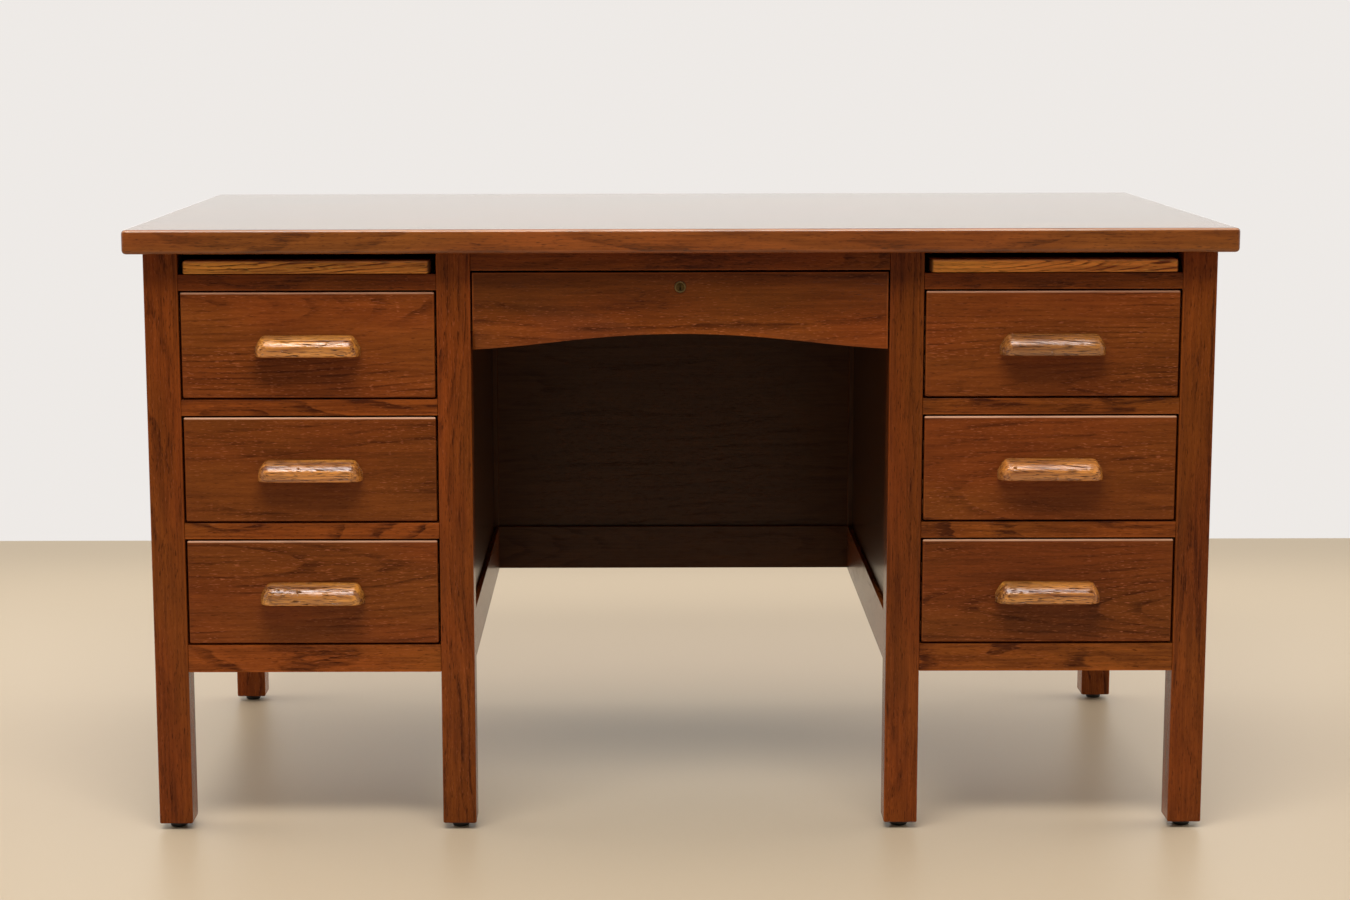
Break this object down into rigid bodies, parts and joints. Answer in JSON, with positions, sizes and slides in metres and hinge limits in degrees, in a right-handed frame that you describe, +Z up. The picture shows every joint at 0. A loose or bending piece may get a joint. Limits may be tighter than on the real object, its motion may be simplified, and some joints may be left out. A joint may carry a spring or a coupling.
{
  "type": "teacher desk",
  "caption": "Double-pedestal wooden desk with drawers on both sides of an arched kneehole drawer, pull-out writing boards and a flat top.",
  "frame": {"origin": "on the floor, under the middle of the desktop", "axes": "+X to the sitter's right along the desk's length, +Y from the sitter towards the back of the desk, +Z up"},
  "size_m": [1.372, 0.762, 0.768],
  "materials": {
    "desktop_oak": "high-gloss varnish over medium brown stained oak",
    "frame_oak": "satin-gloss varnish over medium reddish brown stained oak",
    "panel_oak": "satin-gloss varnish over medium reddish brown stained oak plywood",
    "drawer_oak": "satin-gloss varnish over flat-sawn stained oak",
    "pull_oak": "worn golden oak with open dark pores under varnish",
    "board_oak": "golden brown oak, varnished, worn along the front edge",
    "secondary_wood": "unfinished maple or poplar, darkened with age",
    "lock_brass": "dark aged brass",
    "glide_black": "black domed steel"
  },
  "bodies": {
    "root": {"desktop": "desktop_oak", "leg_front_outer_left": "frame_oak", "leg_front_inner_left": "frame_oak", "leg_rear_left": "frame_oak", "glide_front_outer_left": "glide_black", "glide_front_inner_left": "glide_black", "glide_rear_left": "glide_black", "end_rail_left": "frame_oak", "kneehole_rail_left": "frame_oak", "end_panel_left": "panel_oak", "kneehole_panel_left": "panel_oak", "board_rail_left": "frame_oak", "upper_rail_left": "frame_oak", "lower_rail_left": "frame_oak", "bottom_rail_left": "frame_oak", "rear_post_left": "secondary_wood", "centre_drawer_runner_left": "secondary_wood", "leg_front_outer_right": "frame_oak", "leg_front_inner_right": "frame_oak", "leg_rear_right": "frame_oak", "glide_front_outer_right": "glide_black", "glide_front_inner_right": "glide_black", "glide_rear_right": "glide_black", "end_rail_right": "frame_oak", "kneehole_rail_right": "frame_oak", "end_panel_right": "panel_oak", "kneehole_panel_right": "panel_oak", "board_rail_right": "frame_oak", "upper_rail_right": "frame_oak", "lower_rail_right": "frame_oak", "bottom_rail_right": "frame_oak", "rear_post_right": "secondary_wood", "centre_drawer_runner_right": "secondary_wood", "apron": "frame_oak", "back_bottom_rail": "frame_oak", "back_panel": "panel_oak"},
    "writing_board_left": {"writing_board_left": "board_oak"},
    "writing_board_right": {"writing_board_right": "board_oak"},
    "drawer_upper_left": {"drawer_front_upper_left": "drawer_oak", "drawer_box_upper_left": "secondary_wood", "drawer_pull_upper_left": "pull_oak"},
    "drawer_middle_left": {"drawer_front_middle_left": "drawer_oak", "drawer_box_middle_left": "secondary_wood", "drawer_pull_middle_left": "pull_oak"},
    "drawer_lower_left": {"drawer_front_lower_left": "drawer_oak", "drawer_box_lower_left": "secondary_wood", "drawer_pull_lower_left": "pull_oak"},
    "drawer_upper_right": {"drawer_front_upper_right": "drawer_oak", "drawer_box_upper_right": "secondary_wood", "drawer_pull_upper_right": "pull_oak"},
    "drawer_middle_right": {"drawer_front_middle_right": "drawer_oak", "drawer_box_middle_right": "secondary_wood", "drawer_pull_middle_right": "pull_oak"},
    "drawer_lower_right": {"drawer_front_lower_right": "drawer_oak", "drawer_box_lower_right": "secondary_wood", "drawer_pull_lower_right": "pull_oak"},
    "centre_drawer": {"centre_drawer_front": "drawer_oak", "centre_drawer_box": "secondary_wood"},
    "lock_plug": {"lock_plug": "lock_brass"},
    "lock_bolt": {"lock_bolt": "lock_brass"}
  },
  "joints": [
    {"name": "writing_board_slide_left", "type": "slide", "parent": "root", "child": "writing_board_left", "axis": [0, -1, 0], "range_m": [0, 0.36]},
    {"name": "writing_board_slide_right", "type": "slide", "parent": "root", "child": "writing_board_right", "axis": [0, -1, 0], "range_m": [0, 0.36]},
    {"name": "drawer_slide_upper_left", "type": "slide", "parent": "root", "child": "drawer_upper_left", "axis": [0, -1, 0], "range_m": [0, 0.4]},
    {"name": "drawer_slide_middle_left", "type": "slide", "parent": "root", "child": "drawer_middle_left", "axis": [0, -1, 0], "range_m": [0, 0.4]},
    {"name": "drawer_slide_lower_left", "type": "slide", "parent": "root", "child": "drawer_lower_left", "axis": [0, -1, 0], "range_m": [0, 0.4]},
    {"name": "drawer_slide_upper_right", "type": "slide", "parent": "root", "child": "drawer_upper_right", "axis": [0, -1, 0], "range_m": [0, 0.4]},
    {"name": "drawer_slide_middle_right", "type": "slide", "parent": "root", "child": "drawer_middle_right", "axis": [0, -1, 0], "range_m": [0, 0.4]},
    {"name": "drawer_slide_lower_right", "type": "slide", "parent": "root", "child": "drawer_lower_right", "axis": [0, -1, 0], "range_m": [0, 0.4]},
    {"name": "centre_drawer_slide", "type": "slide", "parent": "root", "child": "centre_drawer", "axis": [0, -1, 0], "range_m": [0, 0.33]},
    {"name": "lock_plug_turn", "type": "hinge", "parent": "centre_drawer", "child": "lock_plug", "pos_m": [0, -0.3525, 0.69425], "axis": [0, -1, 0], "range_deg": [0, 90]},
    {"name": "lock_bolt_slide", "type": "slide", "parent": "centre_drawer", "child": "lock_bolt", "axis": [0, 0, 1], "range_m": [0, 0.008]}
  ],
  "couplings": [
    {"joint": "lock_plug_turn", "follows": "lock_bolt_slide", "rad_per_m": 196.35}
  ]
}
